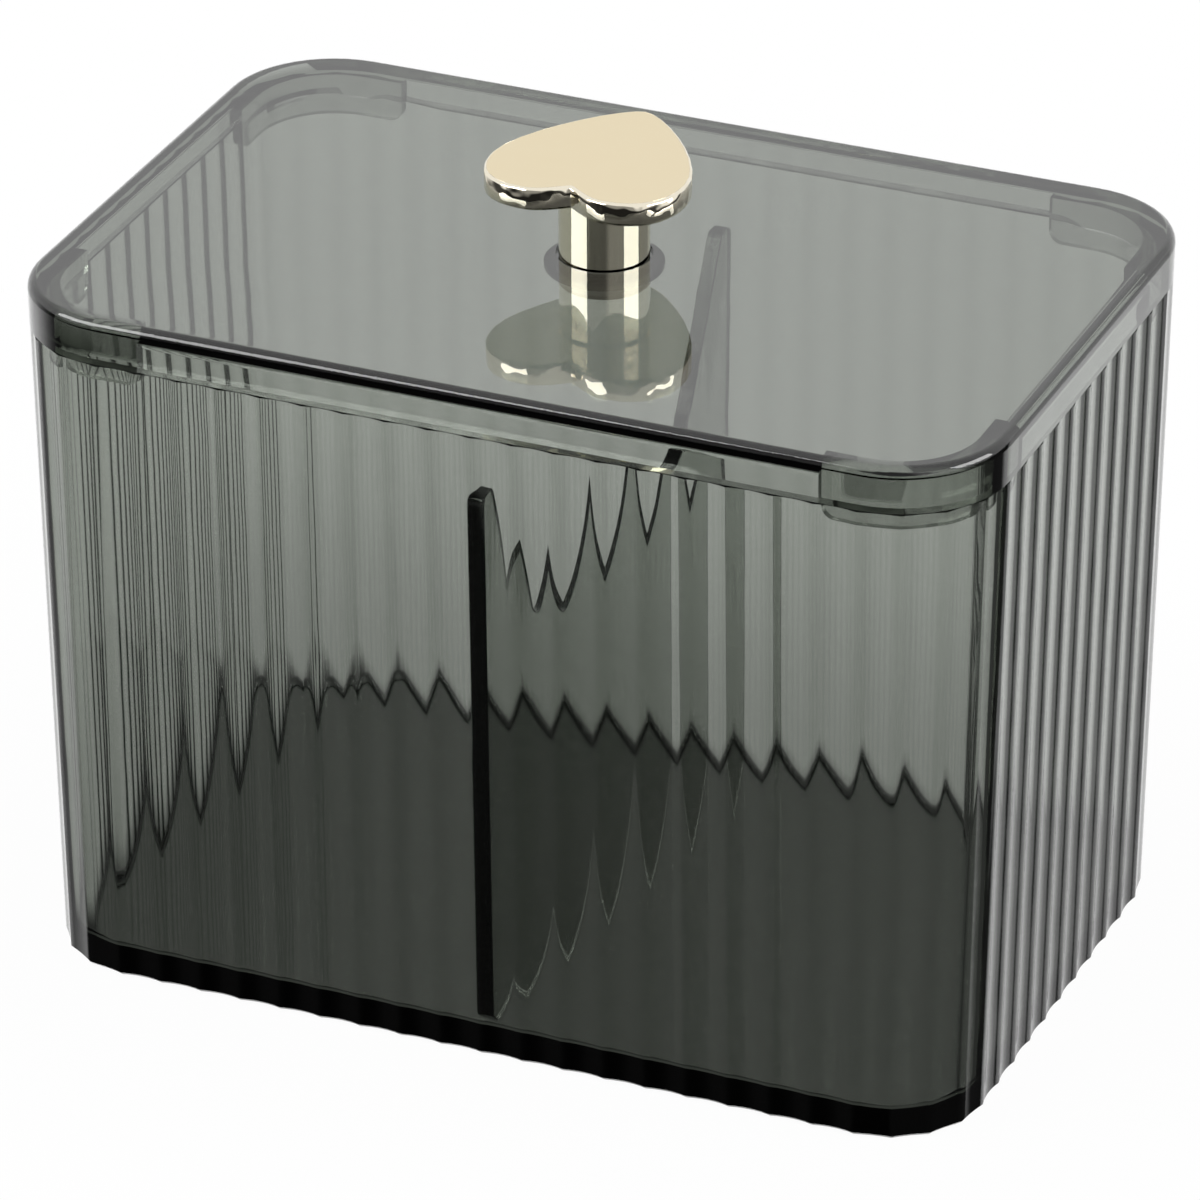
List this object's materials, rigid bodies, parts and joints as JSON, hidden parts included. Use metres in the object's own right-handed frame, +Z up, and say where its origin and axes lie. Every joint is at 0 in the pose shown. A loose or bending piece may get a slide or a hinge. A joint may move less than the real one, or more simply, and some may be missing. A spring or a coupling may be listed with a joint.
{
  "type": "cotton bud organizer",
  "caption": "Fluted smoked clear plastic box with a middle divider, and a lift-off lid with a heart-shaped metal knob, for cotton buds and pads.",
  "frame": {"origin": "centre of the underside of the box's base", "axes": "+X along the long side to the viewer's right, +Y from the front wall to the back wall, +Z up out of the lid"},
  "size_m": [0.1388, 0.0908, 0.1156],
  "materials": {
    "smoked_plastic": "clear, smoky grey, high gloss",
    "dark_plastic": "clear, dark grey, gloss",
    "polished_gold": "polished champagne gold plating",
    "satin_gold": "fine satin champagne gold plating",
    "steel": "plain zinc-plated steel"
  },
  "bodies": {
    "box": {"box_body": "smoked_plastic", "divider": "smoked_plastic"},
    "lid": {"lid": "smoked_plastic", "knob_collar": "dark_plastic", "knob_stem": "polished_gold", "knob_heart": "satin_gold", "knob_screw": "steel"}
  },
  "joints": [
    {"name": "lid_lift", "type": "slide", "parent": "box", "child": "lid", "axis": [0, 0, 1], "range_m": [0, 0.12]}
  ]
}
